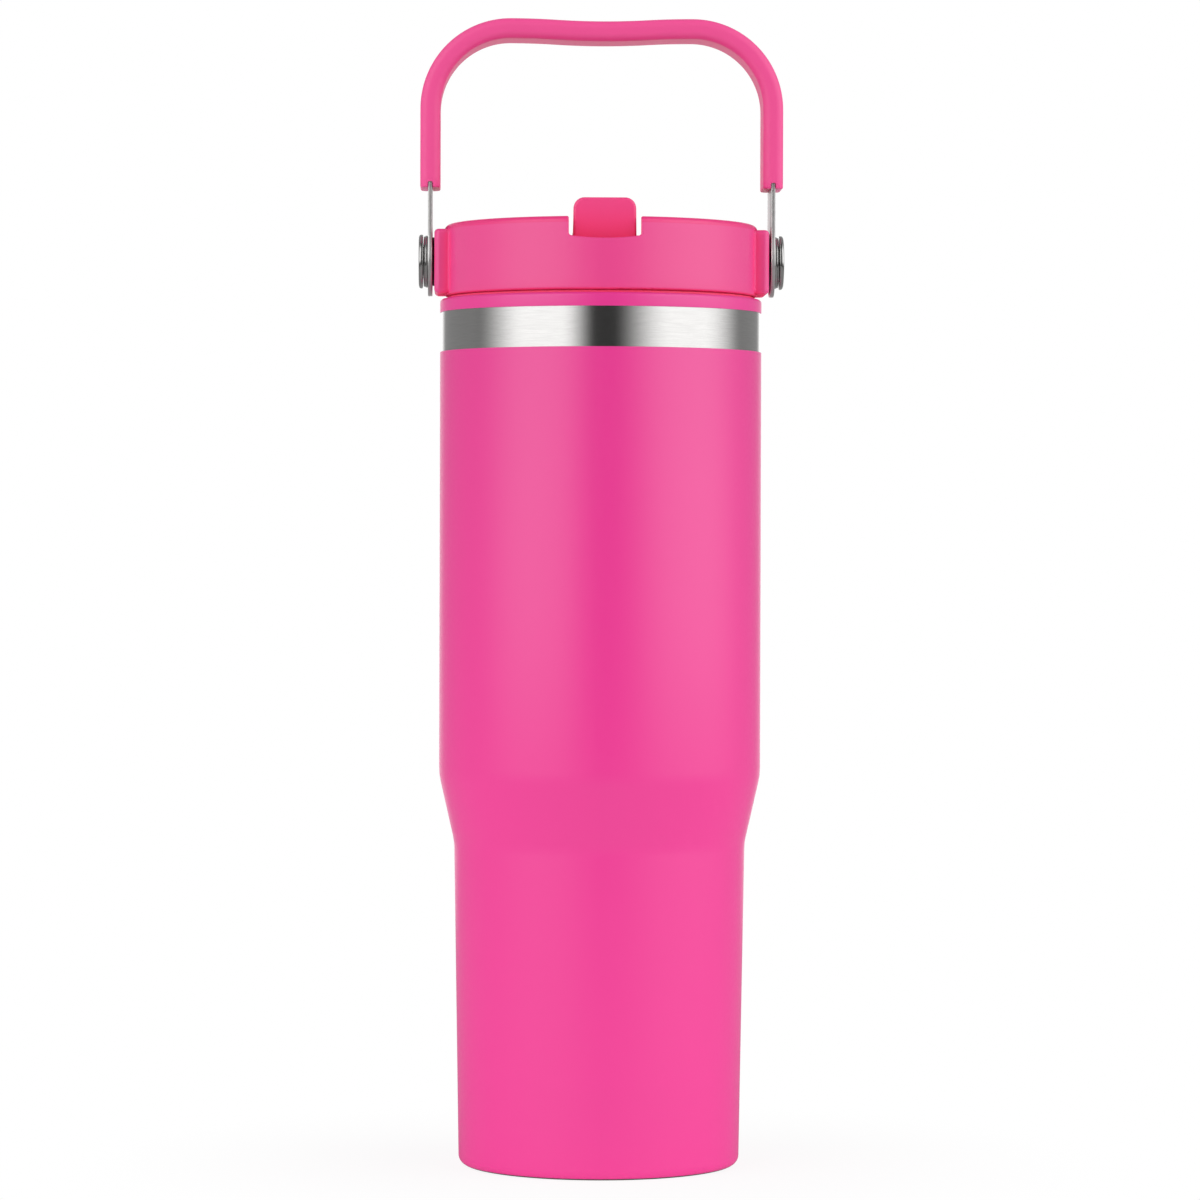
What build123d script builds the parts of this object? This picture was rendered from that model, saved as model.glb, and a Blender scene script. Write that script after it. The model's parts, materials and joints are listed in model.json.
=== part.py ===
from build123d import *
import math
import os

# Insulated tumbler with a screw lid, a flip-up drinking spout and a swinging carry handle.
# Millimetres. The flask stands on Z = 0 about the Z axis. The spout opens at the front, towards -Y,
# and the handle turns about an axis along X. The lid is screwed home and the handle is upright.

# ---------------------------------------------------------------- driving dimensions
# Flask, outside
BODY_RADIUS = 45.0          # coated barrel
WAIST_RADIUS = 40.7         # top of the cup-holder taper
FOOT_RADIUS = 39.25         # bottom of the cup-holder taper
WAIST_Z = 90.4
SHOULDER_Z = 109.3
LIP_Z = 242.0               # top of the bare steel lip
FOOT_ROUND = 2.4
WAIST_ROUND = 16.0
SHOULDER_ROUND = 18.0
LIP_ROUND = 0.7
SHELL_WALL = 0.45
COAT = 0.25                 # powder coating
BAND_LOW_Z = 227.5          # the band of bare steel between the two coated stretches
BAND_HIGH_Z = 238.5
COAT_FOOT_Z = 0.3           # the coating stops short of the standing ring
COAT_LIP_RADIUS = 43.2

# Flask, inside
MOUTH_RADIUS = 39.0         # bore of the threaded neck
LINER_RADIUS = 39.6         # bore of the upper chamber
NECK_LOW_Z = 222.0
NECK_ROUND = 3.0
LINER_WAIST_RADIUS = 34.8
LINER_FOOT_RADIUS = 33.5
LINER_WALL = 0.4
LINER_WAIST_Z = 91.4
LINER_SHOULDER_Z = 110.3
LINER_FLOOR_Z = 7.0
LINER_WELD_Z = 18.0
LINER_FOOT_ROUND = 7.0
NECK_STEP = 2.0             # height over which the chamber narrows to the neck
FOOT_OPENING_RADIUS = 34.6
BASE_PLATE_Z = 2.6
BASE_RIM_WIDTH = 1.4        # flat ring of the plate that is welded into the foot
BASE_TOP_BEND = 0.6
BASE_FOOT_BEND = 0.3
BASE_DIMPLE_RADIUS = 5.0
BASE_DIMPLE_FLARE = 0.6
BASE_DIMPLE_DEPTH = 1.0
BASE_DIMPLE_BEND = 0.4
VENT_HOLE_RADIUS = 1.0      # hole that the air is drawn out through
GLASS_RADIUS = 2.8          # bead of solder glass in that hole
GLASS_FACE_RADIUS = 2.4
GLASS_DEPTH = 0.7
GLASS_ROUND = 0.5
BASE_COVER_RADIUS = 31.5
BASE_COVER_THICKNESS = 0.5
BASE_COVER_ROUND = 0.3
GETTER_RADIUS = 4.5
GETTER_THICKNESS = 1.6
GETTER_ROUND = 0.5
GETTER_X = 14.0

# Two-start screw thread between the mouth and the lid
THREAD_LEAD = 8.0
THREAD_STARTS = 2
THREAD_TURNS = 0.75         # of each start
THREAD_ROOT_WIDTH = 1.9
THREAD_CREST_WIDTH = 1.0
MOUTH_CREST_RADIUS = 37.8
PLUG_CREST_RADIUS = 38.6
THREAD_SINK = 0.25          # how far a ridge is rooted in its wall
MOUTH_THREAD_Z = 229.0
PLUG_THREAD_Z = 227.0

# Lid
SKIRT_RADIUS = 43.8
SKIRT_WALL = 2.2
SKIRT_LOW_Z = 243.0
RIM_Z = 263.0
RIM_ROUND = 1.6             # outside of the rim
RIM_INNER_ROUND = 0.55
SKIRT_FOOT_ROUND = 0.8
DECK_Z = 256.6
DECK_THICKNESS = 2.0
DECK_ROUND = 0.8
PLUG_RADIUS = 37.3
PLUG_WALL = 2.0
PLUG_LOW_Z = 221.0
PLUG_FOOT_ROUND = 1.5
PLUG_INNER_ROUND = 1.0
FLANGE_LOW_Z = 243.4
FLANGE_HIGH_Z = 245.4
SEAL_INNER_RADIUS = 37.5
SEAL_STEP_RADIUS = 38.6
SEAL_OUTER_RADIUS = 41.4
SEAL_ROUND = 0.4
SEAL_BEAD_RADIUS = 42.9     # bead that fills the gap under the skirt
SEAL_BEAD_GAP = 0.06
SEAL_BEAD_ROUND = 0.35
SEAL_LOW_Z = 240.2

# Ears on the lid, and the handle's pivots
PIVOT_Z = 252.8
EAR_X = 46.6
EAR_HALF_WIDTH = 11.0
EAR_LOW_Z = 243.6
EAR_HIGH_Z = 261.4
EAR_ROUND = 1.6             # upright outer corners
EAR_BLEND = 0.8             # upright inner corners, against the skirt
EAR_EDGE_ROUND = 1.1
INSERT_RADIUS = 3.4
INSERT_LENGTH = 7.0
INSERT_GROOVE_START = 2.2
INSERT_GROOVE_WIDTH = 2.0
INSERT_GROOVE_DEPTH = 0.4
BOSS_RADIUS = 6.0
BOSS_END_WALL = 1.5
SHANK_RADIUS = 3.0
THREAD_END_RADIUS = 2.5
STUD_END_GAP = 0.5
STUD_END_ROUND = 0.4
HEAD_RADIUS = 7.6
RUNNING_GAP = 0.06          # radial clearance of a pin in its hole
LAYER_GAP = 0.05            # between the turning layers on a stud
INNER_WASHER = 0.55
INNER_WASHER_RADIUS = 6.8
INNER_WASHER_ROUND = 0.15
HEAD_WASHER = 0.85
HEAD_WASHER_RADIUS = 7.3
HEAD_WASHER_ROUND = 0.3
DISC_SPRING_SPACE = 0.5
DISC_SPRING_RADIUS = 7.1
DISC_SPRING_SHEET = 0.3
HEAD_THICKNESS = 1.2
HEAD_BACK_ROUND = 0.3
HEAD_FACE_ROUND = 0.6
DISH_RING = 1.6             # flat ring round the dish in the head
DISH_SLOPE = 0.6
DISH_DEPTH = 0.35
DISH_ROUND = 0.3

# Handle
STRAP_X = 47.8              # middle of the strap's arms
STRAP_THICKNESS = 1.2
STRAP_WIDTH = 16.4
STRAP_BLEND = 12.0          # between the eye and the arm
EYE_RADIUS = 9.7
EYE_BUSH_RADIUS = 4.2
GRIP_THICKNESS = 5.6
GRIP_WIDTH = 17.5
GRIP_ROUND = 2.2
GRIP_LOW_Z = 273.1
CORNER_RADIUS = 22.4        # of the strap's middle line
CORNER_Z = 295.1
GRIP_DIP = 0.75             # the middle of the grip hangs this much below its shoulders
END_SLOT_WIDTH = 1.4
END_SLOT_HEIGHT = 2.4

# Spout, its channel in the lid and its hinge
SPOUT_HALF_WIDTH = 8.75
SPOUT_TOP_HALF_WIDTH = 8.5
SPOUT_FRONT_Y = -40.2
SPOUT_LOW_Z = 249.6
TAB_Z = 268.2
TAB_THICKNESS = 3.3
TAB_TAPER = 0.6             # how much thicker its root is
TAB_CORNER = 3.0
TAB_ROOT_ROUND = 4.5
TAB_FACE_ROUND = 0.8
ARM_ROOT_RISE = 6.0         # top of the arm above the hinge, at the tab and at the barrel
ARM_END_RISE = 5.0
ARM_ROUND = 1.2
HINGE_Y = 7.0
HINGE_Z = 254.0
BARREL_RADIUS = 6.4
BARREL_HALF_WIDTH = 9.4
BORE_RADIUS = 3.2
HINGE_PIN_RADIUS = 1.5
HINGE_PIN_INNER_X = 5.2
HINGE_PIN_END_GAP = 0.3
HINGE_PIN_CHAMFER = 0.3
CHANNEL_HALF_WIDTH = 9.85
CHANNEL_WALL = 2.0
CHANNEL_CORNER = 1.6
CHANNEL_BACK_Y = 15.6
CHANNEL_FLOOR_Z = 247.2
NOTCH_Z = 257.0
NOTCH_SAGITTA = 0.8
NOTCH_CORNER = 0.8
NOTCH_EDGE_ROUND = 0.5

# Liquid and air ways
GASKET_NECK_RADIUS = 5.2
GASKET_FLANGE_RADIUS = 6.8
GASKET_LOW_Z = 243.8
GASKET_HIGH_Z = 249.2
PORT_WALL_RADIUS = 7.2
STRAW_RADIUS = 4.6
STRAW_WALL = 0.7
STRAW_SLANT = 30.0          # of its lower end, in degrees
STRAW_TOP_Z = 238.0
STRAW_LOW_Z = 12.0
SOCKET_LOW_Z = 213.0
SOCKET_STEP = 3.0           # height of the socket's narrower end
SOCKET_WALL = 1.6
AIR_VALVE_Y = -14.0
AIR_STEM_RADIUS = 2.2
AIR_STEM_LENGTH = 6.8
AIR_CAP_RADIUS = 3.6
AIR_CAP_THICKNESS = 0.8
AIR_CAP_ROUND = 0.3
AIR_TUBE_RADIUS = 4.0
AIR_DUCT_RADIUS = 0.9

# Helpers for cutting shapes and for picking edges
FAR = 200.0                 # longer than anything that is cut away
PAST = 1.0                  # how far a cutting shape reaches past what it cuts
NEAR = 0.1                  # how near counts as the same place
AWAY = 1.0                  # how far apart counts as another place


# ---------------------------------------------------------------- shared shapes
def lathe(*corners):
    """Solid of revolution about Z. A corner of its half section is (radius, z) or (radius, z, fillet)."""
    fillets = [corner[2] if len(corner) == 3 else 0 for corner in corners]
    outline = FilletPolyline(*[corner[:2] for corner in corners], radius=fillets, close=True)
    return revolve(Plane.XZ * make_face(outline), Axis.Z)


def tube(outer, inner, low, high):
    """Plain ring or tube about Z."""
    return lathe((inner, low), (outer, low), (outer, high), (inner, high))


def rod(radius, low, high, y=0.0):
    """Upright cylinder between two heights."""
    return Pos(0, y, (low + high) / 2) * Cylinder(radius, high - low)


def cross_rod(radius, start_x, end_x, y, z):
    """Cylinder along X between two places."""
    return Pos((start_x + end_x) / 2, y, z) * Rot(0, 90, 0) * Cylinder(radius, end_x - start_x)


def block(low, high):
    """Box between two opposite corners."""
    size = [b - a for a, b in zip(low, high)]
    middle = [(a + b) / 2 for a, b in zip(low, high)]
    return Pos(*middle) * Box(*size)


def both_sides(right):
    """The right-hand piece and its mirror image on the left, as two solids."""
    return Compound(children=[*right.solids(), *mirror(right, Plane.YZ).solids()])


def ridges(root, crest, start_z):
    """Helical ridges of the screw thread, rooted in the wall of radius root."""
    outward = 1 if crest > root else -1
    helix = Helix(pitch=THREAD_LEAD, height=THREAD_LEAD * THREAD_TURNS, radius=root)
    section = Polyline(
        (-outward * THREAD_SINK, -THREAD_ROOT_WIDTH / 2),
        (-outward * THREAD_SINK, THREAD_ROOT_WIDTH / 2),
        (crest - root, THREAD_CREST_WIDTH / 2),
        (crest - root, -THREAD_CREST_WIDTH / 2),
        close=True,
    )
    at_start = Plane(origin=helix @ 0, x_dir=(1, 0, 0), z_dir=-(helix % 0))
    ridge = sweep(at_start * make_face(section), path=helix, is_frenet=True)
    turns = [360 * start / THREAD_STARTS for start in range(THREAD_STARTS)]
    return [Pos(0, 0, start_z) * Rot(0, 0, turn) * ridge for turn in turns]


# ---------------------------------------------------------------- flask
def flask_envelope(inset):
    """The flask as a solid, its surface moved in by inset from the coating's outside."""
    low = inset - COAT
    high = LIP_Z + COAT - inset
    return lathe(
        (0, low),
        (FOOT_RADIUS - inset, low, FOOT_ROUND + COAT - inset),
        (WAIST_RADIUS - inset, WAIST_Z, WAIST_ROUND + inset),
        (BODY_RADIUS - inset, SHOULDER_Z, SHOULDER_ROUND - inset),
        (BODY_RADIUS - inset, high, LIP_ROUND + COAT - inset),
        (0, high),
    )


def outer_shell():
    """Drawn steel shell, open at the mouth and at the foot."""
    shell = flask_envelope(COAT) - flask_envelope(COAT + SHELL_WALL)
    shell -= rod(MOUTH_RADIUS + LINER_WALL, LIP_Z - 2 * SHELL_WALL, LIP_Z + PAST)
    return shell - rod(FOOT_OPENING_RADIUS, -PAST, 2 * SHELL_WALL)


def coating(low, high):
    """Powder coating between two heights."""
    return (flask_envelope(0) - flask_envelope(COAT)) & rod(FAR, low, high)


def rim_coating():
    """Coated stretch over the bare band, round the corner of the lip."""
    return coating(BAND_HIGH_Z, LIP_Z + COAT) - rod(COAT_LIP_RADIUS, LIP_Z - PAST, LIP_Z + PAST)


def base_plate():
    """Pressed plate that closes the foot of the shell, with a dimple round the hole that was pumped."""
    top = BASE_PLATE_Z + SHELL_WALL
    step = FOOT_OPENING_RADIUS - BASE_RIM_WIDTH
    flare = BASE_DIMPLE_RADIUS + BASE_DIMPLE_FLARE
    return lathe(
        (VENT_HOLE_RADIUS, BASE_PLATE_Z + BASE_DIMPLE_DEPTH),
        (BASE_DIMPLE_RADIUS, BASE_PLATE_Z + BASE_DIMPLE_DEPTH, BASE_DIMPLE_BEND),
        (flare, BASE_PLATE_Z, BASE_DIMPLE_BEND),
        (step - SHELL_WALL, BASE_PLATE_Z, BASE_TOP_BEND),
        (step - SHELL_WALL, 0, BASE_FOOT_BEND + SHELL_WALL),
        (FOOT_OPENING_RADIUS, 0),
        (FOOT_OPENING_RADIUS, SHELL_WALL),
        (step, SHELL_WALL, BASE_FOOT_BEND),
        (step, top, BASE_TOP_BEND + SHELL_WALL),
        (flare + SHELL_WALL, top, BASE_DIMPLE_BEND),
        (BASE_DIMPLE_RADIUS + SHELL_WALL, top + BASE_DIMPLE_DEPTH, BASE_DIMPLE_BEND),
        (VENT_HOLE_RADIUS, top + BASE_DIMPLE_DEPTH),
    )


def vacuum_seal():
    """Bead of solder glass that stops the pumping hole."""
    face = BASE_PLATE_Z + BASE_DIMPLE_DEPTH
    return lathe(
        (0, face - GLASS_DEPTH),
        (GLASS_FACE_RADIUS, face - GLASS_DEPTH, GLASS_ROUND),
        (GLASS_RADIUS, face),
        (VENT_HOLE_RADIUS, face),
        (VENT_HOLE_RADIUS, face + SHELL_WALL),
        (0, face + SHELL_WALL),
    )


def base_cover():
    """Disc glued under the base plate, over the dimple."""
    low = BASE_PLATE_Z - BASE_COVER_THICKNESS
    edge = (BASE_COVER_RADIUS, low, BASE_COVER_ROUND)
    return lathe((0, low), edge, (BASE_COVER_RADIUS, BASE_PLATE_Z), (0, BASE_PLATE_Z))


def liner_envelope(inset):
    """The inner vessel as a solid, its surface moved in by inset from its outside."""
    outside = LINER_WALL - inset
    return lathe(
        (0, LINER_FLOOR_Z + inset),
        (LINER_FOOT_RADIUS + outside, LINER_FLOOR_Z + inset, LINER_FOOT_ROUND + outside),
        (LINER_WAIST_RADIUS + outside, LINER_WAIST_Z, WAIST_ROUND),
        (LINER_RADIUS + outside, LINER_SHOULDER_Z, SHOULDER_ROUND),
        (LINER_RADIUS + outside, NECK_LOW_Z, NECK_ROUND),
        (MOUTH_RADIUS + outside, NECK_LOW_Z + NECK_STEP, NECK_ROUND),
        (MOUTH_RADIUS + outside, LIP_Z),
        (0, LIP_Z),
    )


def liner_tube():
    """Wall of the inner vessel, with the thread raised inside its mouth."""
    wall = (liner_envelope(0) - liner_envelope(LINER_WALL)) & rod(FAR, LINER_WELD_Z, LIP_Z)
    for ridge in ridges(MOUTH_RADIUS, MOUTH_CREST_RADIUS, MOUTH_THREAD_Z):
        wall += ridge
    return wall


def liner_base():
    """Floor of the inner vessel, welded to its wall."""
    return (liner_envelope(0) - liner_envelope(LINER_WALL)) & rod(FAR, 0, LINER_WELD_Z)


def getter():
    """Pellet under the vessel's floor that takes up what gas is left."""
    low = LINER_FLOOR_Z - GETTER_THICKNESS
    edge = (GETTER_RADIUS, low, GETTER_ROUND)
    return Pos(GETTER_X, 0, 0) * lathe((0, low), edge, (GETTER_RADIUS, LINER_FLOOR_Z), (0, LINER_FLOOR_Z))


# ---------------------------------------------------------------- lid
def ears():
    """Two rounded blocks outside the skirt that carry the handle's pivots, blended into the skirt."""
    outline = Circle(SKIRT_RADIUS) + Rectangle(2 * EAR_X, 2 * EAR_HALF_WIDTH)
    outer_corners = [corner for corner in outline.vertices() if abs(corner.X) > SKIRT_RADIUS]
    outline = fillet(outer_corners, EAR_ROUND)
    inner_corners = [corner for corner in outline.vertices() if abs(abs(corner.Y) - EAR_HALF_WIDTH) < NEAR]
    inner_corners = [corner for corner in inner_corners if abs(corner.X) < SKIRT_RADIUS]
    outline = fillet(inner_corners, EAR_BLEND)
    band = Pos(0, 0, EAR_LOW_Z) * extrude(outline, EAR_HIGH_Z - EAR_LOW_Z)
    levels = band.edges().group_by(Axis.Z)
    band = fillet(levels[0] + levels[-1], EAR_EDGE_ROUND)
    return band - rod(SKIRT_RADIUS - SKIRT_WALL / 2, EAR_LOW_Z - PAST, EAR_HIGH_Z + PAST)


def skirt_and_deck():
    """Outer wall of the lid with the sunken deck inside its rim."""
    inner = SKIRT_RADIUS - SKIRT_WALL
    return lathe(
        (0, DECK_Z - DECK_THICKNESS),
        (inner, DECK_Z - DECK_THICKNESS),
        (inner, SKIRT_LOW_Z),
        (SKIRT_RADIUS, SKIRT_LOW_Z, SKIRT_FOOT_ROUND),
        (SKIRT_RADIUS, RIM_Z, RIM_ROUND),
        (inner, RIM_Z, RIM_INNER_ROUND),
        (inner, DECK_Z, DECK_ROUND),
        (0, DECK_Z),
    )


def spout_channel():
    """Walls and floor of the trough that the spout lies in, and the space inside them."""
    inner = SKIRT_RADIUS - SKIRT_WALL
    wide = CHANNEL_HALF_WIDTH + CHANNEL_WALL
    back = CHANNEL_BACK_Y + CHANNEL_WALL
    walls = block((-wide, -FAR, FLANGE_HIGH_Z), (wide, back, DECK_Z - DECK_THICKNESS / 2))
    walls &= rod(inner + SKIRT_WALL / 2, 0, RIM_Z)
    top = RIM_Z + PAST
    space = block((-CHANNEL_HALF_WIDTH, -FAR, CHANNEL_FLOOR_Z), (CHANNEL_HALF_WIDTH, CHANNEL_BACK_Y, top))
    space = fillet(space.edges().filter_by(Axis.Z).group_by(Axis.Y)[-1], CHANNEL_CORNER)
    space &= rod(inner, 0, top)
    return walls, space


def notch():
    """Thumb notch through the front of the rim, with a dished bottom and rounded lower corners."""
    half = CHANNEL_HALF_WIDTH
    corner_z = NOTCH_Z + NOTCH_SAGITTA
    top = RIM_Z + PAST
    bottom = ThreePointArc((-half, corner_z), (0, NOTCH_Z), (half, corner_z))
    sides = Polyline((half, corner_z), (half, top), (-half, top), (-half, corner_z))
    outline = make_face([bottom, sides])
    outline = fillet([corner for corner in outline.vertices() if corner.Y < RIM_Z], NOTCH_CORNER)
    ahead = Plane.XZ.offset(SKIRT_RADIUS / 2)
    return extrude(ahead * outline, SKIRT_RADIUS)


def ease_notch(housing):
    """Rounds the edge where the notch meets the outside of the skirt."""
    outer_edges = [
        edge
        for edge in housing.edges()
        if abs(edge.center().X) < CHANNEL_HALF_WIDTH + NEAR
        and NOTCH_Z - NEAR < edge.bounding_box().min.Z
        and edge.bounding_box().max.Y < SKIRT_WALL - SKIRT_RADIUS - NEAR
        and edge.bounding_box().size.Y < SKIRT_WALL / 2
    ]
    return fillet(outer_edges, NOTCH_EDGE_ROUND)


def lid_housing():
    """Moulded top of the lid: skirt, deck, ears, spout channel and notch."""
    walls, space = spout_channel()
    housing = skirt_and_deck() + walls + ears()
    boss_end = EAR_X - INSERT_LENGTH - BOSS_END_WALL
    boss = cross_rod(BOSS_RADIUS, boss_end, SKIRT_RADIUS - SKIRT_WALL / 2, 0, PIVOT_Z) & rod(FAR, 0, DECK_Z)
    pocket = cross_rod(INSERT_RADIUS, EAR_X - INSERT_LENGTH, EAR_X, 0, PIVOT_Z)
    housing = housing + boss + mirror(boss, Plane.YZ)
    for cutter in (space, notch(), pocket, mirror(pocket, Plane.YZ)):
        housing -= cutter
    housing -= rod(GASKET_NECK_RADIUS, FLANGE_HIGH_Z - PAST, CHANNEL_FLOOR_Z + PAST, HINGE_Y)
    housing -= rod(AIR_STEM_RADIUS, FLANGE_HIGH_Z - PAST, CHANNEL_FLOOR_Z + PAST, AIR_VALVE_Y)
    wall_x = CHANNEL_HALF_WIDTH + CHANNEL_WALL
    housing -= cross_rod(HINGE_PIN_RADIUS, -wall_x, wall_x, HINGE_Y, HINGE_Z)
    return ease_notch(housing)


def lid_plug():
    """Hollow plug under the lid, with the outer thread, the straw socket and the air tube."""
    inner = PLUG_RADIUS - PLUG_WALL
    floor = PLUG_LOW_Z + PLUG_WALL
    plug = lathe(
        (0, PLUG_LOW_Z),
        (PLUG_RADIUS, PLUG_LOW_Z, PLUG_FOOT_ROUND),
        (PLUG_RADIUS, FLANGE_LOW_Z),
        (SKIRT_RADIUS - SKIRT_WALL, FLANGE_LOW_Z),
        (SKIRT_RADIUS - SKIRT_WALL, FLANGE_HIGH_Z),
        (inner, FLANGE_HIGH_Z),
        (inner, floor, PLUG_INNER_ROUND),
        (0, floor),
    )
    for ridge in ridges(PLUG_RADIUS, PLUG_CREST_RADIUS, PLUG_THREAD_Z):
        plug += ridge
    plug += rod(PORT_WALL_RADIUS, SOCKET_LOW_Z + SOCKET_STEP, GASKET_LOW_Z, HINGE_Y)
    plug += rod(STRAW_RADIUS + SOCKET_WALL, SOCKET_LOW_Z, SOCKET_LOW_Z + SOCKET_STEP, HINGE_Y)
    plug += rod(AIR_TUBE_RADIUS, floor - PLUG_WALL / 2, FLANGE_HIGH_Z, AIR_VALVE_Y)
    plug -= rod(STRAW_RADIUS, SOCKET_LOW_Z - PAST, STRAW_TOP_Z, HINGE_Y)
    plug -= rod(STRAW_RADIUS - STRAW_WALL, STRAW_TOP_Z - PAST, GASKET_LOW_Z + PAST, HINGE_Y)
    return plug - rod(AIR_STEM_RADIUS, PLUG_LOW_Z - PAST, FLANGE_HIGH_Z + PAST, AIR_VALVE_Y)


def lid_seal():
    """Silicone ring under the lid's flange. It sits on the steel lip and guides the plug in the mouth."""
    return lathe(
        (SEAL_INNER_RADIUS, SEAL_LOW_Z),
        (SEAL_STEP_RADIUS, SEAL_LOW_Z, SEAL_ROUND),
        (SEAL_STEP_RADIUS, LIP_Z),
        (SEAL_BEAD_RADIUS, LIP_Z, SEAL_BEAD_ROUND),
        (SEAL_BEAD_RADIUS, SKIRT_LOW_Z - SEAL_BEAD_GAP, SEAL_BEAD_ROUND),
        (SEAL_OUTER_RADIUS, SKIRT_LOW_Z - SEAL_BEAD_GAP),
        (SEAL_OUTER_RADIUS, FLANGE_LOW_Z),
        (SEAL_INNER_RADIUS, FLANGE_LOW_Z),
    )


def spout_gasket():
    """Silicone seat under the spout's barrel, clamped between the channel floor and the plug."""
    gasket = rod(GASKET_FLANGE_RADIUS, GASKET_LOW_Z, FLANGE_HIGH_Z, HINGE_Y)
    gasket += rod(GASKET_NECK_RADIUS, FLANGE_HIGH_Z, GASKET_HIGH_Z, HINGE_Y)
    gasket -= cross_rod(BARREL_RADIUS + RUNNING_GAP, -FAR, FAR, HINGE_Y, HINGE_Z)
    return gasket - rod(BORE_RADIUS, GASKET_LOW_Z - PAST, GASKET_HIGH_Z + PAST, HINGE_Y)


def air_valve():
    """Silicone valve in the channel floor that lets air back in while drinking."""
    top = CHANNEL_FLOOR_Z + AIR_CAP_THICKNESS
    low = CHANNEL_FLOOR_Z - AIR_STEM_LENGTH
    valve = lathe(
        (AIR_DUCT_RADIUS, low),
        (AIR_STEM_RADIUS, low),
        (AIR_STEM_RADIUS, CHANNEL_FLOOR_Z),
        (AIR_CAP_RADIUS, CHANNEL_FLOOR_Z),
        (AIR_CAP_RADIUS, top, AIR_CAP_ROUND),
        (AIR_DUCT_RADIUS, top, AIR_CAP_ROUND),
    )
    return Pos(0, AIR_VALVE_Y, 0) * valve


def straw():
    """Drinking straw, pushed up into the plug's socket, with a slanted lower end."""
    pipe = tube(STRAW_RADIUS, STRAW_RADIUS - STRAW_WALL, STRAW_LOW_Z - PAST, STRAW_TOP_Z)
    middle_z = STRAW_LOW_Z + STRAW_RADIUS * math.tan(math.radians(STRAW_SLANT))
    below = Pos(0, 0, middle_z) * Rot(STRAW_SLANT, 0, 0) * Pos(0, 0, -FAR / 2) * Box(FAR, FAR, FAR)
    return Pos(0, HINGE_Y, 0) * (pipe - below)


# ---------------------------------------------------------------- spout
def flip_spout():
    """Drinking spout in its closed place: hinge barrel, arm with the bore along it, and thumb tab."""
    tab_back_y = SPOUT_FRONT_Y + TAB_THICKNESS
    side = FilletPolyline(
        (HINGE_Y, SPOUT_LOW_Z),
        (SPOUT_FRONT_Y, SPOUT_LOW_Z),
        (SPOUT_FRONT_Y, TAB_Z),
        (tab_back_y, TAB_Z),
        (tab_back_y + TAB_TAPER, HINGE_Z + ARM_ROOT_RISE),
        (HINGE_Y, HINGE_Z + ARM_END_RISE),
        radius=[0, 0, 0, 0, TAB_ROOT_ROUND, 0],
        close=True,
    )
    front = FilletPolyline(
        (-SPOUT_HALF_WIDTH, SPOUT_LOW_Z),
        (SPOUT_HALF_WIDTH, SPOUT_LOW_Z),
        (SPOUT_TOP_HALF_WIDTH, TAB_Z),
        (-SPOUT_TOP_HALF_WIDTH, TAB_Z),
        radius=[0, 0, TAB_CORNER, TAB_CORNER],
        close=True,
    )
    spout = extrude(Plane.YZ * make_face(side), FAR, both=True)
    spout &= extrude(Plane.XZ * make_face(front), FAR, both=True)
    upper = [edge for edge in spout.edges() if edge.center().Z > HINGE_Z + ARM_END_RISE / 2]
    back_edges = [
        edge
        for edge in upper
        if tab_back_y - NEAR < edge.center().Y < HINGE_Y - AWAY
        and (abs(edge.center().X) > AWAY or edge.center().Z > TAB_Z - AWAY)
    ]
    spout = fillet(back_edges, ARM_ROUND)
    spout = fillet(spout.faces().sort_by(Axis.Y)[0].edges(), TAB_FACE_ROUND)
    spout += cross_rod(BARREL_RADIUS, -BARREL_HALF_WIDTH, BARREL_HALF_WIDTH, HINGE_Y, HINGE_Z)
    bore = Pos(0, 0, HINGE_Z) * Rot(90, 0, 0) * Cylinder(BORE_RADIUS, FAR)
    hole_end = HINGE_PIN_INNER_X - HINGE_PIN_END_GAP
    pin_hole = cross_rod(HINGE_PIN_RADIUS + RUNNING_GAP, hole_end, BARREL_HALF_WIDTH + PAST, HINGE_Y, HINGE_Z)
    for cutter in (bore, pin_hole, mirror(pin_hole, Plane.YZ)):
        spout -= cutter
    return spout


def spout_pins():
    """Two stub pins, pressed into the channel's walls, that the spout's barrel turns on."""
    outer_x = CHANNEL_HALF_WIDTH + CHANNEL_WALL
    pin = cross_rod(HINGE_PIN_RADIUS, HINGE_PIN_INNER_X, outer_x, HINGE_Y, HINGE_Z)
    return both_sides(chamfer(pin.edges().group_by(Axis.X)[0], HINGE_PIN_CHAMFER))


# ---------------------------------------------------------------- handle pivots
# Faces of the layers on the right-hand stud, from the ear outwards
INNER_WASHER_X = (EAR_X, EAR_X + INNER_WASHER)
STRAP_FACES_X = (STRAP_X - STRAP_THICKNESS / 2, STRAP_X + STRAP_THICKNESS / 2)
HEAD_WASHER_X = (STRAP_FACES_X[1] + LAYER_GAP, STRAP_FACES_X[1] + LAYER_GAP + HEAD_WASHER)
HEAD_X = (HEAD_WASHER_X[1] + DISC_SPRING_SPACE, HEAD_WASHER_X[1] + DISC_SPRING_SPACE + HEAD_THICKNESS)


def on_pivot(solid):
    """Turns a solid of revolution, made along Z, onto the handle's axis along X."""
    return Pos(0, 0, PIVOT_Z) * Rot(0, 90, 0) * solid


def washers(outer, span, edge_round):
    """Flat washers on both studs' shanks, with rounded outer edges."""
    hole = SHANK_RADIUS + RUNNING_GAP
    low, high = span
    ring = lathe((hole, low), (outer, low, edge_round), (outer, high, edge_round), (hole, high))
    return both_sides(on_pivot(ring))


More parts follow.
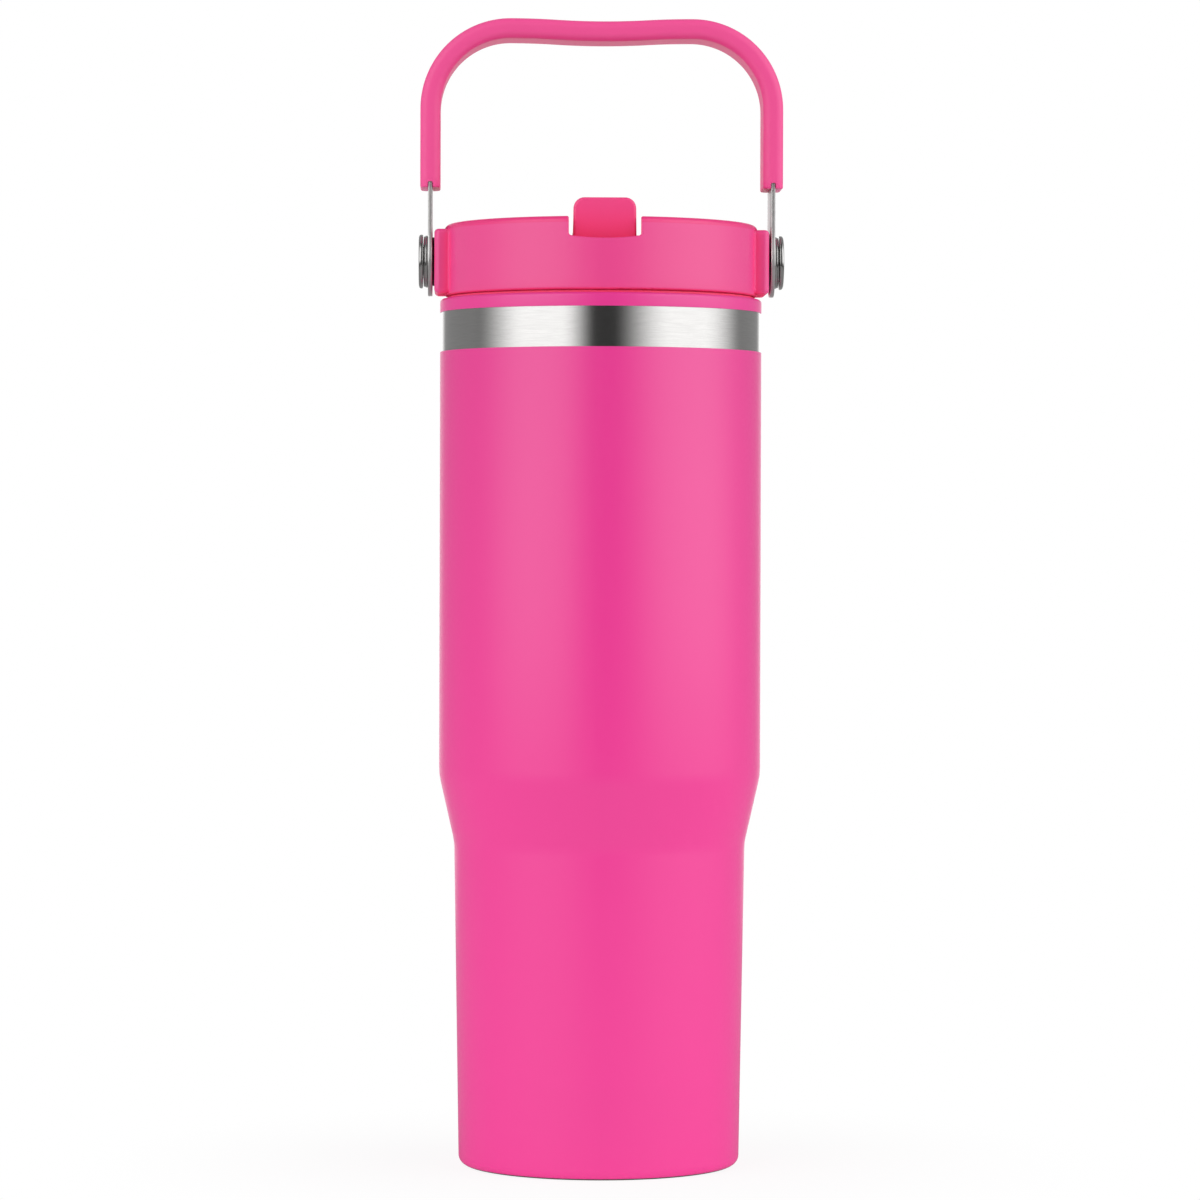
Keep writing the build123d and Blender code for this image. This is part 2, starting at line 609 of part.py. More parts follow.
def pivot_inserts():
    """Threaded metal inserts moulded into the ears."""
    start = EAR_X - INSERT_LENGTH
    groove = INSERT_RADIUS - INSERT_GROOVE_DEPTH
    groove_low = start + INSERT_GROOVE_START
    groove_high = groove_low + INSERT_GROOVE_WIDTH
    insert = lathe(
        (THREAD_END_RADIUS, start),
        (INSERT_RADIUS, start),
        (INSERT_RADIUS, groove_low),
        (groove, groove_low + INSERT_GROOVE_DEPTH),
        (groove, groove_high - INSERT_GROOVE_DEPTH),
        (INSERT_RADIUS, groove_high),
        (INSERT_RADIUS, EAR_X),
        (THREAD_END_RADIUS, EAR_X),
    )
    return both_sides(on_pivot(insert))


def pivot_studs():
    """Shouldered rivets: a shank through the strap's eye, and a broad head with a shallow dish."""
    end = EAR_X - INSERT_LENGTH + STUD_END_GAP
    ring = HEAD_RADIUS - DISH_RING
    stud = lathe(
        (0, end),
        (THREAD_END_RADIUS, end, STUD_END_ROUND),
        (THREAD_END_RADIUS, EAR_X),
        (SHANK_RADIUS, EAR_X),
        (SHANK_RADIUS, HEAD_X[0]),
        (HEAD_RADIUS, HEAD_X[0], HEAD_BACK_ROUND),
        (HEAD_RADIUS, HEAD_X[1], HEAD_FACE_ROUND),
        (ring, HEAD_X[1], DISH_ROUND),
        (ring - DISH_SLOPE, HEAD_X[1] - DISH_DEPTH, DISH_ROUND),
        (0, HEAD_X[1] - DISH_DEPTH),
    )
    return both_sides(on_pivot(stud))


def disc_springs():
    """Conical spring washers under the heads. They press the layers together, so the handle stays put."""
    low, high = HEAD_WASHER_X[1], HEAD_X[0]
    hole = SHANK_RADIUS + RUNNING_GAP
    rim = DISC_SPRING_RADIUS
    sheet = DISC_SPRING_SHEET
    spring = lathe((hole, high - sheet), (rim, low), (rim, low + sheet), (hole, high))
    return both_sides(on_pivot(spring))


def head_washers():
    """Steel washers between the disc springs and the strap."""
    return washers(HEAD_WASHER_RADIUS, HEAD_WASHER_X, HEAD_WASHER_ROUND)


def inner_washers():
    """Black plastic washers between the ears and the strap."""
    return washers(INNER_WASHER_RADIUS, INNER_WASHER_X, INNER_WASHER_ROUND)


def eye_bushes():
    """Plastic sleeves pressed into the strap's eyes, which turn on the studs."""
    bush = on_pivot(tube(EYE_BUSH_RADIUS, SHANK_RADIUS + RUNNING_GAP, *STRAP_FACES_X))
    return both_sides(bush)


# ---------------------------------------------------------------- handle
def handle_line():
    """Middle line of the strap inside the grip, from the end on the left over the top to the right."""
    shoulder = (STRAP_X - CORNER_RADIUS, CORNER_Z + CORNER_RADIUS)
    middle = (0, shoulder[1] - GRIP_DIP)
    halfway = (shoulder[0] / 2, shoulder[1] - GRIP_DIP / 2)
    diagonal = CORNER_RADIUS * math.sqrt(0.5)
    corner_mid = (shoulder[0] + diagonal, CORNER_Z + diagonal)
    # The dip is two equal arcs that meet halfway, level at both ends.
    dip_radius = (halfway[0] ** 2 + (GRIP_DIP / 2) ** 2) / GRIP_DIP
    quarter_x = halfway[0] / 2
    sag = dip_radius - math.sqrt(dip_radius**2 - quarter_x**2)
    right = [
        ThreePointArc(middle, (quarter_x, middle[1] + sag), halfway),
        ThreePointArc(halfway, (shoulder[0] - quarter_x, shoulder[1] - sag), shoulder),
        ThreePointArc(shoulder, corner_mid, (STRAP_X, CORNER_Z)),
        Line((STRAP_X, CORNER_Z), (STRAP_X, GRIP_LOW_Z)),
    ]
    left = [mirror(edge, Plane.YZ) for edge in right]
    return Plane.XZ * Wire([edge for half in (left, right) for part in half for edge in part.edges()])


def along_handle(section):
    """Sweeps a section, drawn at the strap's left end with X across the band, over the handle."""
    start = Plane(origin=(-STRAP_X, 0, GRIP_LOW_Z), x_dir=(1, 0, 0), z_dir=(0, 0, 1))
    return sweep(start * section, path=handle_line())


def strap_arm():
    """Right-hand arm of the strap below the grip: a flat eye that narrows to the strap's width."""
    eye = Circle(EYE_RADIUS)
    reach = GRIP_LOW_Z - PIVOT_Z
    band = Pos(0, reach / 2) * Rectangle(STRAP_WIDTH, reach)
    outline = eye + band
    joins = [corner for corner in outline.vertices() if 0 < corner.Y < reach - AWAY]
    outline = fillet(joins, STRAP_BLEND) - Circle(EYE_BUSH_RADIUS)
    flat = Plane(origin=(STRAP_FACES_X[0], 0, PIVOT_Z), x_dir=(0, 1, 0), z_dir=(1, 0, 0)) * outline
    return extrude(flat, STRAP_THICKNESS)


def handle_strap():
    """Flat steel strap bent into a bail, with a round eye at each end."""
    arm = strap_arm()
    return along_handle(Rectangle(STRAP_THICKNESS, STRAP_WIDTH)) + arm + mirror(arm, Plane.YZ)


def handle_grip():
    """Soft grip moulded round the strap, with a slot at each end where the strap's edges show."""
    grip = along_handle(RectangleRounded(GRIP_THICKNESS, GRIP_WIDTH, GRIP_ROUND))
    grip -= along_handle(Rectangle(STRAP_THICKNESS, STRAP_WIDTH))
    slot = block(
        (STRAP_X - END_SLOT_WIDTH / 2, -FAR, GRIP_LOW_Z - PAST),
        (STRAP_X + END_SLOT_WIDTH / 2, FAR, GRIP_LOW_Z + END_SLOT_HEIGHT),
    )
    return grip - slot - mirror(slot, Plane.YZ)


# ---------------------------------------------------------------- all nodes
NODES = {
    "outer_shell": outer_shell,
    "body_coating": lambda: coating(COAT_FOOT_Z, BAND_LOW_Z),
    "rim_coating": rim_coating,
    "base_plate": base_plate,
    "vacuum_seal": vacuum_seal,
    "base_cover": base_cover,
    "liner_tube": liner_tube,
    "liner_base": liner_base,
    "getter": getter,
    "lid_seal": lid_seal,
    "lid_housing": lid_housing,
    "lid_plug": lid_plug,
    "spout_gasket": spout_gasket,
    "air_valve": air_valve,
    "straw": straw,
    "spout_pins": spout_pins,
    "flip_spout": flip_spout,
    "pivot_inserts": pivot_inserts,
    "pivot_studs": pivot_studs,
    "disc_springs": disc_springs,
    "head_washers": head_washers,
    "inner_washers": inner_washers,
    "eye_bushes": eye_bushes,
    "handle_strap": handle_strap,
    "handle_grip": handle_grip,
}

os.makedirs("parts", exist_ok=True)
for name, make in NODES.items():
    export_step(make(), f"parts/{name}.step")
    print(name)
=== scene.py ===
import json
import math

import bmesh
import bpy
from mathutils import Matrix, Vector


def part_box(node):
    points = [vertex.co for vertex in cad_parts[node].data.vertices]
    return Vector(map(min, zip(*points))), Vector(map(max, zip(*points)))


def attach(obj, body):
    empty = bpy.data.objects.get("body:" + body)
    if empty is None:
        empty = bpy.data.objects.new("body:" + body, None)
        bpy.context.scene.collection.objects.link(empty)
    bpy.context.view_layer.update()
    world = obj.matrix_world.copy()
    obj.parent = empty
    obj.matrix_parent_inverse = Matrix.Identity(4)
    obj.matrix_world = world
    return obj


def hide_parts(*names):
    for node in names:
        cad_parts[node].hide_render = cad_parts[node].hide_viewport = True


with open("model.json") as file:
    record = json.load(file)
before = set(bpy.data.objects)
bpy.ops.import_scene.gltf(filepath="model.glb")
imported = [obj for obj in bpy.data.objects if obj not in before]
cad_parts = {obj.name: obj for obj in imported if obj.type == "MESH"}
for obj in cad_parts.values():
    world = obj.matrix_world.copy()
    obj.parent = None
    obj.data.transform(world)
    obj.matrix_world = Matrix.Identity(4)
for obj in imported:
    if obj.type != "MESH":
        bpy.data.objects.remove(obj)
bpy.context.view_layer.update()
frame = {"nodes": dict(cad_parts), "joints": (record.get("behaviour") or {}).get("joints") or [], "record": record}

# Looks of the insulated tumbler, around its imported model. Metres, same frame as the model:
# the flask stands on Z = 0, the spout's thumb tab is at the front, towards -Y.

MM = 0.001
STEPS = 256                 # facets round the large turned pieces
SMALL_STEPS = 96            # facets round the hardware
ARC_STEP = math.radians(9)  # largest turn between two points of a rounded corner
TOUCHING = 1e-7             # points nearer than this are one point


# ---------------------------------------------------------------- mesh tools
def rounded(corners, closed=True):
    """Outline through corners (a, b) or (a, b, radius), with the given radii as arcs. All in metres."""
    points = []
    count = len(corners)
    for i, corner in enumerate(corners):
        here = Vector(corner[:2])
        radius = corner[2] if len(corner) == 3 else 0
        ends = not closed and i in (0, count - 1)
        if not radius or ends:
            points.append(here)
            continue
        before = (Vector(corners[i - 1][:2]) - here).normalized()
        after = (Vector(corners[(i + 1) % count][:2]) - here).normalized()
        half = before.angle(after) / 2
        turn = math.pi - 2 * half
        middle = here + (before + after).normalized() * radius / math.sin(half)
        start = here + before * radius / math.tan(half) - middle
        sign = 1 if before.x * after.y - before.y * after.x < 0 else -1
        steps = max(2, math.ceil(turn / ARC_STEP))
        for step in range(steps + 1):
            spin = Matrix.Rotation(sign * turn * step / steps, 2)
            points.append(middle + spin @ start)
    return points


def new_piece(name, bm, crease=35):
    """Object from a bmesh, shaded smooth except along edges that turn by more than crease degrees."""
    bmesh.ops.recalc_face_normals(bm, faces=bm.faces)
    mesh = bpy.data.meshes.new(name)
    bm.to_mesh(mesh)
    bm.free()
    mesh.polygons.foreach_set("use_smooth", [True] * len(mesh.polygons))
    mesh.set_sharp_from_angle(angle=math.radians(crease))
    piece = bpy.data.objects.new(name, mesh)
    bpy.context.scene.collection.objects.link(piece)
    return piece


def turn_outline(bm, outline, steps, place=Matrix.Identity(4)):
    """Adds the solid that a closed outline of (radius, height) sweeps round the Z axis."""
    rings = []
    for radius, height in outline:
        if radius < TOUCHING:
            rings.append([bm.verts.new(place @ Vector((0, 0, height)))])
            continue
        ring = []
        for step in range(steps):
            angle = 2 * math.pi * step / steps
            point = Vector((radius * math.cos(angle), radius * math.sin(angle), height))
            ring.append(bm.verts.new(place @ point))
        rings.append(ring)
    for i, ring in enumerate(rings):
        above = rings[(i + 1) % len(rings)]
        if len(ring) == 1 and len(above) == 1:
            continue
        for step in range(steps):
            after = (step + 1) % steps
            corners = [
                ring[step % len(ring)],
                ring[after % len(ring)],
                above[after % len(above)],
                above[step % len(above)],
            ]
            bm.faces.new(list(dict.fromkeys(corners)))


def lathe(name, corners):
    """Large turned piece from its closed outline of (radius, height) or (radius, height, round)."""
    bm = bmesh.new()
    turn_outline(bm, rounded(corners), STEPS)
    return new_piece(name, bm)


# ---------------------------------------------------------------- places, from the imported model
def low(node):
    """Corner of a model node's box with the smallest X, Y and Z."""
    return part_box(node)[0]


def high(node):
    """Corner of a model node's box with the largest X, Y and Z."""
    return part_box(node)[1]


PIVOT = Vector(next(joint["pos_m"] for joint in frame["joints"] if joint["name"] == "handle_swing"))
BODY_R = high("body_coating").x
COAT_TOP = high("body_coating").z
COAT_FOOT = low("body_coating").z
LIP = high("rim_coating").z
RIM_COAT_LOW = low("rim_coating").z
COAT = BODY_R - high("outer_shell").x
FOOT_R = 39.25 * MM
FOOT_ROUND = 2.65 * MM                  # from the foot's side to its underside
WAIST = Vector((40.7, 90.4)) * MM       # radius and height where the foot meets the taper
WAIST_ROUND = 16 * MM
SHOULDER_Z = 109.3 * MM                 # where the taper meets the barrel
SHOULDER_ROUND = 18 * MM
SHELL_WALL = 0.45 * MM


# ---------------------------------------------------------------- flask
def flask_side(inset, bottom, top, start=FOOT_R - 5 * MM):
    """Outside of the flask, moved in by inset, from the radius start under the foot up to the top."""
    return [
        (start, bottom),
        (FOOT_R - inset, bottom, FOOT_ROUND - inset),
        (WAIST.x - inset, WAIST.y, WAIST_ROUND + inset),
        (BODY_R - inset, SHOULDER_Z, SHOULDER_ROUND - inset),
        (BODY_R - inset, top),
    ]


def body_coating():
    """Powder coat of the barrel. It thins out to the bare steel at both ends."""
    ease = 0.12 * MM
    foot_low = COAT_FOOT - COAT
    outer = rounded(flask_side(0, foot_low, COAT_TOP), closed=False)
    inner = rounded(flask_side(COAT, foot_low + COAT, COAT_TOP), closed=False)
    outer = [point for point in outer if point.y > COAT_FOOT]
    inner = [point for point in inner if point.y > COAT_FOOT]
    outer[-1] -= Vector((0, ease))
    outer.append(Vector((BODY_R - ease * 0.4, COAT_TOP - ease * 0.25)))
    outer.append(Vector((BODY_R - ease * 1.2, COAT_TOP)))
    bm = bmesh.new()
    turn_outline(bm, outer + inner[::-1], STEPS)
    return new_piece("body_coat", bm)


def rim_coating():
    """Powder coat of the narrow ring between the bare band and the lid, and of the lip."""
    inner_r = BODY_R - COAT
    edge_r = 43.2 * MM
    return lathe("rim_coat", [
        (inner_r, RIM_COAT_LOW),
        (BODY_R, RIM_COAT_LOW, 0.1 * MM),
        (BODY_R, LIP, 0.95 * MM),
        (edge_r, LIP, 0.1 * MM),
        (edge_r, LIP - COAT),
        (inner_r, LIP - COAT, 0.7 * MM),
    ])


def outer_shell():
    """Steel shell: bare between the two coats, on the lip and on the standing ring."""
    mouth = 39.4 * MM
    foot_hole = 34.6 * MM
    lip_round = 0.7 * MM
    top = LIP - COAT
    outside = flask_side(COAT, 0, top, foot_hole)
    outside[-1] += (lip_round,)
    inside = flask_side(COAT + SHELL_WALL, SHELL_WALL, top - SHELL_WALL, foot_hole)
    inside[-1] += (lip_round - SHELL_WALL,)
    return lathe("steel_shell", [*outside, (mouth, top), (mouth, top - SHELL_WALL), *inside[::-1]])


def straw():
    """Clear straw with a slanted lower end."""
    bottom, top = low("straw"), high("straw")
    centre_y = (bottom.y + top.y) / 2
    outer = (top.x - bottom.x) / 2
    wall = 0.7 * MM
    inner = outer - wall
    slant = math.tan(math.radians(30))
    bm = bmesh.new()
    turn_outline(bm, rounded([
        (inner, bottom.z),
        (outer, bottom.z),
        (outer, top.z),
        (inner, top.z),
    ]), SMALL_STEPS)
    for vert in bm.verts:
        if vert.co.z < bottom.z + MM:
            vert.co.z += (outer + vert.co.y) * slant
        vert.co.y += centre_y
    return new_piece("drinking_straw", bm)


def lid_seal():
    """Silicone ring on the lip, with the bead that fills the gap under the skirt."""
    lowest, highest = low("lid_seal").z, high("lid_seal").z
    inner, outer = 37.5 * MM, 41.4 * MM
    step, shelf = 38.6 * MM, LIP - COAT
    bead = high("lid_seal").x
    skirt_gap = 0.06 * MM
    bead_top = low("lid_housing").z - skirt_gap
    return lathe("seal_ring", [
        (inner, lowest),
        (step, lowest, 0.4 * MM),
        (step, shelf),
        (bead, shelf, 0.35 * MM),
        (bead, bead_top, 0.35 * MM),
        (outer, bead_top),
        (outer, highest),
        (inner, highest),
    ])


# ---------------------------------------------------------------- handle hardware
SHANK_R = 3.0 * MM                      # of the studs
WASHER_HOLE_R = SHANK_R + 0.06 * MM


def on_pivots(name, corners):
    """The same turned piece on both of the handle's pivots. Heights count from the middle plane."""
    bm = bmesh.new()
    outline = rounded(corners)
    for side in (1, -1):
        place = Matrix.Translation(PIVOT) @ Matrix.Rotation(side * math.pi / 2, 4, "Y")
        turn_outline(bm, outline, SMALL_STEPS, place)
    return new_piece(name, bm)


def stud():
    """Broad head with a rounded rim and a shallow dish, on a shouldered shank."""
    ear = high("lid_housing").x
    outer = high("pivot_studs").x
    head = outer - 1.2 * MM
    tip = ear - 6.5 * MM
    radius = high("pivot_studs").z - PIVOT.z
    thread_r = 2.5 * MM
    dish = outer - 0.35 * MM
    dimple = outer - 0.5 * MM
    dimple_r = 1.1 * MM
    soft = 0.1 * MM
    return on_pivots("stud_pair", [
        (0, tip),
        (thread_r, tip, 0.4 * MM),
        (thread_r, ear),
        (SHANK_R, ear),
        (SHANK_R, head),
        (radius, head, 0.25 * MM),
        (radius, outer, 0.65 * MM),
        (radius - 1.6 * MM, outer, 0.3 * MM),
        (radius - 2.2 * MM, dish, 0.3 * MM),
        (dimple_r + 0.2 * MM, dish, soft),
        (dimple_r, dimple, soft),
        (0, dimple),
    ])


def washer_span(node):
    """Inner and outer face of a pair of washers, as distances from the middle plane."""
    faces = sorted(abs(vert.co.x) for vert in frame["nodes"][node].data.vertices)
    return faces[0], faces[-1]


def washer(name, node, edge):
    """Pair of flat washers whose outer edges are rounded by edge."""
    first, last = washer_span(node)
    radius = high(node).z - PIVOT.z
    return on_pivots(name, [
        (WASHER_HOLE_R, first),
        (radius, first, edge),
        (radius, last, edge),
        (WASHER_HOLE_R, last),
    ])


def disc_springs():
    """Pair of conical washers, higher round the hole than at the rim."""
    first, last = washer_span("disc_springs")
    rim = high("disc_springs").z - PIVOT.z
    sheet = 0.3 * MM
    edge = 0.05 * MM
    return on_pivots("disc_spring_pair", [
        (WASHER_HOLE_R, last - sheet),
        (rim, first, edge),
        (rim, first + sheet, edge),
        (WASHER_HOLE_R, last),
    ])


# ---------------------------------------------------------------- handle
STRAP_HALF = 0.6 * MM       # half of the sheet's thickness
STRAP_X = high("handle_strap").x - STRAP_HALF
GRIP_LOW = low("handle_grip").z
GRIP_TOP = high("handle_grip").z
GRIP_HALF_THICK = high("handle_grip").x - STRAP_X
GRIP_HALF_WIDTH = high("handle_grip").y
GRIP_ROUND = 2.2 * MM       # round along the grip's edges
CORNER_R = 22.4 * MM        # bend of the handle's line
DIP = 0.75 * MM             # how far the top sinks in the middle
DIP_STEPS = 12
CORNER_STEPS = 48
LEG_STEPS = 8


def handle_line():
    """Middle line of the handle as (point, direction) pairs, from the left over the top to the right."""
    top = GRIP_TOP - GRIP_HALF_THICK
    centre = Vector((STRAP_X - CORNER_R, 0, top - CORNER_R))
    right = []
    reach = centre.x / 2
    dip_r = (reach**2 + (DIP / 2) ** 2) / DIP
    sweep = math.asin(reach / dip_r)
    for step in range(DIP_STEPS + 1):
        angle = sweep * step / DIP_STEPS
        right.append((
            Vector((dip_r * math.sin(angle), 0, top - DIP + dip_r * (1 - math.cos(angle)))),
            Vector((math.cos(angle), 0, math.sin(angle))),
        ))
    for step in range(1, DIP_STEPS):
        angle = sweep * (1 - step / DIP_STEPS)
        right.append((
            Vector((centre.x - dip_r * math.sin(angle), 0, top - dip_r * (1 - math.cos(angle)))),
            Vector((math.cos(angle), 0, math.sin(angle))),
        ))
    for step in range(CORNER_STEPS + 1):
        angle = math.pi / 2 * step / CORNER_STEPS
        right.append((
            centre + Vector((CORNER_R * math.sin(angle), 0, CORNER_R * math.cos(angle))),
            Vector((math.cos(angle), 0, -math.sin(angle))),
        ))
    down = Vector((0, 0, -1))
    for step in range(1, LEG_STEPS + 1):
        height = centre.z + (GRIP_LOW - centre.z) * step / LEG_STEPS
        right.append((Vector((STRAP_X, 0, height)), down))
    left = [
        (Vector((-point.x, 0, point.z)), Vector((direction.x, 0, -direction.z)))
        for point, direction in right[:0:-1]
    ]
    return left + right


def rounded_section(half_a, half_b, radius):
    """Rounded rectangle about the origin, counter-clockwise."""
    return rounded([
        (half_a, -half_b, radius),
        (half_a, half_b, radius),
        (-half_a, half_b, radius),
        (-half_a, -half_b, radius),
    ])


def subdivided(outline, most):
    """The same outline with no span longer than most."""
    points = []
    for here, after in zip(outline, outline[1:] + outline[:1]):
        spans = max(1, math.ceil((after - here).length / most))
        points += [here.lerp(after, i / spans) for i in range(spans)]
    return points


def sweep_rings(bm, rings):
    """Skins a list of rings of points, and closes both ends."""
    rings = [[bm.verts.new(point) for point in ring] for ring in rings]
    for ring, after in zip(rings, rings[1:]):
        count = len(ring)
        for i in range(count):
            bm.faces.new((ring[i], ring[(i + 1) % count], after[(i + 1) % count], after[i]))
    bm.faces.new(rings[0])
    bm.faces.new(rings[-1])


def across_line(section, point, direction):
    """Points of a section (thickness, width) stood across the handle's line."""
    across = Vector((direction.z, 0, -direction.x))
    return [point + across * corner.x + Vector((0, corner.y, 0)) for corner in section]


def grip_ring(point, direction, inset=0, shift=0):
    """The grip's section, smaller by inset on all sides and moved on by shift."""
    section = rounded_section(GRIP_HALF_THICK - inset, GRIP_HALF_WIDTH - inset, GRIP_ROUND - inset)
    return across_line(subdivided(section, 1.6 * MM), point + direction * shift, direction)


def grip():
    """Moulded grip: a rounded section along the handle's line, eased and slotted at both ends."""
    line = handle_line()
    end_round = 0.5 * MM
    ease = []
    for degrees in range(0, 90, 15):
        angle = math.radians(degrees)
        ease.append((end_round * (1 - math.sin(angle)), end_round * (1 - math.cos(angle))))
    rings = [grip_ring(*line[0], inset, shift) for inset, shift in ease]
    rings += [grip_ring(*stop) for stop in line[1:-1]]
    rings += [grip_ring(*line[-1], inset, -shift) for inset, shift in reversed(ease)]
    bm = bmesh.new()
    sweep_rings(bm, rings)
    piece = new_piece("grip_moulding", bm, crease=50)
    return cut_slots(piece)


def cut_slots(piece):
    """Cuts the slot at each end of the grip where the strap's edges show."""
    half = 0.7 * MM
    deep = 1.6 * MM
    top_round = 0.45 * MM
    outline = rounded([
        (-half, -deep),
        (half, -deep),
        (half, deep, top_round),
        (-half, deep, top_round),
    ])
    bm = bmesh.new()
    for side in (1, -1):
        rings = []
        for y in (-2 * GRIP_HALF_WIDTH, 2 * GRIP_HALF_WIDTH):
            middle = Vector((side * STRAP_X, y, GRIP_LOW))
            rings.append([middle + Vector((corner.x, 0, corner.y)) for corner in outline])
        sweep_rings(bm, rings)
    cutter = new_piece("slot_cutter", bm)
    cut = piece.modifiers.new("slots", "BOOLEAN")
    cut.object = cutter
    cut.solver = "EXACT"
    apply_modifiers(piece)
    bpy.data.objects.remove(cutter)
    piece.data.set_sharp_from_angle(angle=math.radians(40))
    return piece


def apply_modifiers(piece):
    """Turns what the modifiers show into the piece's own mesh."""
    bpy.context.view_layer.update()
    graph = bpy.context.evaluated_depsgraph_get()
    mesh = bpy.data.meshes.new_from_object(piece.evaluated_get(graph))
    piece.modifiers.clear()
    piece.data = mesh


def strap():
    """Flat steel strap: two arms with round eyes, and the bail between them, its sheet edges rounded."""
    eye_r = high("handle_strap").y
    band = 8.2 * MM
    blend = 12.0 * MM
    hole = 4.2 * MM
    edge = 0.18 * MM
    eye_steps, blend_steps = 24, 12
    # The concave blend touches the eye and the band's straight side.
    rise = math.sqrt((eye_r + blend) ** 2 - (band + blend) ** 2)
    touch = math.atan2(rise, band + blend)
    side = []
    for step in range(eye_steps + 1):
        angle = -math.pi / 2 + (touch + math.pi / 2) * step / eye_steps
        side.append(Vector((eye_r * math.cos(angle), eye_r * math.sin(angle))))
    for step in range(1, blend_steps + 1):
        angle = touch + math.pi - touch * step / blend_steps
        side.append(Vector((band + blend + blend * math.cos(angle), rise + blend * math.sin(angle))))
    # The arms reach 6 mm into the grip. The bail starts 4 mm inside it, a hair thinner than they are.
    side.append(Vector((band, GRIP_LOW + 6 * MM - PIVOT.z)))
    outline = side + [Vector((-point.x, point.y)) for point in side[:0:-1]]
    bm = bmesh.new()
    for direction in (1, -1):
        plate(bm, outline, hole, edge, direction)
    hair = 0.02 * MM
    section = rounded_section(STRAP_HALF - hair, band - hair, edge)
    bail = [stop for stop in handle_line() if stop[0].z >= GRIP_LOW + 4 * MM]
    sweep_rings(bm, [across_line(section, *stop) for stop in bail])
    return new_piece("strap_band", bm, crease=40)


def inward(outline, distance):
    """Closed outline moved in by a small distance, towards its left."""
    moved = []
    count = len(outline)
    for i in range(count):
        along = (outline[(i + 1) % count] - outline[i - 1]).normalized()
        moved.append(outline[i] + Vector((-along.y, along.x)) * distance)
    return moved


def plate(bm, outline, hole, edge, direction):
    """Flat plate with one round hole, upright at x = direction * STRAP_X, its outer edges rounded."""
    count = len(outline)
    circle = []
    for i in range(count):
        angle = 2 * math.pi * i / count - math.pi / 2
        circle.append(Vector((hole * math.cos(angle), hole * math.sin(angle))))
    shoulder = edge * 0.3
    rows = [
        (inward(outline, edge), -STRAP_HALF),
        (inward(outline, shoulder), -STRAP_HALF + shoulder),
        (outline, -STRAP_HALF + edge),
        (outline, STRAP_HALF - edge),
        (inward(outline, shoulder), STRAP_HALF - shoulder),
        (inward(outline, edge), STRAP_HALF),
        (circle, STRAP_HALF),
        (circle, -STRAP_HALF),
    ]
    loops = []
    for points, x in rows:
        across = direction * (STRAP_X + x)
        loops.append([bm.verts.new(Vector((across, point.x, PIVOT.z + point.y))) for point in points])
    for loop, after in zip(loops, loops[1:] + loops[:1]):
        for i in range(count):
            bm.faces.new((loop[i], loop[(i + 1) % count], after[(i + 1) % count], after[i]))


# ---------------------------------------------------------------- finish of the model's own meshes
def crisp_group():
    """Modifier that joins the faces' meshes and keeps only their real edges sharp."""
    group = bpy.data.node_groups.new("crisp_edges", "GeometryNodeTree")
    group.interface.new_socket("Geometry", in_out="INPUT", socket_type="NodeSocketGeometry")
    group.interface.new_socket("Geometry", in_out="OUTPUT", socket_type="NodeSocketGeometry")
    nodes, links = group.nodes, group.links
    start = nodes.new("NodeGroupInput")
    end = nodes.new("NodeGroupOutput")
    real_edge = math.radians(28)
    merge = nodes.new("GeometryNodeMergeByDistance")
    merge.inputs["Distance"].default_value = TOUCHING
    smooth = nodes.new("GeometryNodeSetShadeSmooth")
    smooth.domain = "FACE"
    sharp = nodes.new("GeometryNodeSetShadeSmooth")
    sharp.domain = "EDGE"
    angle = nodes.new("GeometryNodeInputMeshEdgeAngle")
    compare = nodes.new("FunctionNodeCompare")
    compare.data_type = "FLOAT"
    compare.operation = "GREATER_THAN"
    compare.inputs["B"].default_value = real_edge
    links.new(angle.outputs["Unsigned Angle"], compare.inputs["A"])
    links.new(start.outputs[0], merge.inputs["Geometry"])
    links.new(merge.outputs["Geometry"], smooth.inputs["Geometry"])
    links.new(smooth.outputs["Geometry"], sharp.inputs["Geometry"])
    links.new(compare.outputs["Result"], sharp.inputs["Selection"])
    sharp.inputs["Shade Smooth"].default_value = False
    links.new(sharp.outputs["Geometry"], end.inputs[0])
    return group


def finish_model_meshes():
    """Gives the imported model's own meshes clean shading."""
    group = crisp_group()
    for node in frame["nodes"].values():
        crisp = node.modifiers.new("crisp", "NODES")
        crisp.node_group = group
        even = node.modifiers.new("even_normals", "WEIGHTED_NORMAL")
        even.keep_sharp = True
        even.weight = 50


# ---------------------------------------------------------------- node helpers
def math_node(tree, operation, *values, clamp=False):
    """One calculation in a shader. Values are numbers or other nodes' outputs."""
    node = tree.nodes.new("ShaderNodeMath")
    node.operation = operation
    node.use_clamp = clamp
    for socket, value in zip(node.inputs, values):
        if isinstance(value, (int, float)):
            socket.default_value = value
        else:
            tree.links.new(value, socket)
    return node.outputs[0]


def fade(tree, value, start, end):
    """Smooth step from 0 at start to 1 at end."""
    node = tree.nodes.new("ShaderNodeMapRange")
    node.interpolation_type = "SMOOTHSTEP"
    node.inputs["From Min"].default_value = start
    node.inputs["From Max"].default_value = end
    tree.links.new(value, node.inputs["Value"])
    return node.outputs["Result"]


def chained(tree, operation, first, *others):
    """The same operation from value to value: a sum or a product."""
    result = first
    for value in others:
        result = math_node(tree, operation, result, value)
    return result


def product(tree, *values):
    return chained(tree, "MULTIPLY", *values)


def total(tree, *values):
    return chained(tree, "ADD", *values)


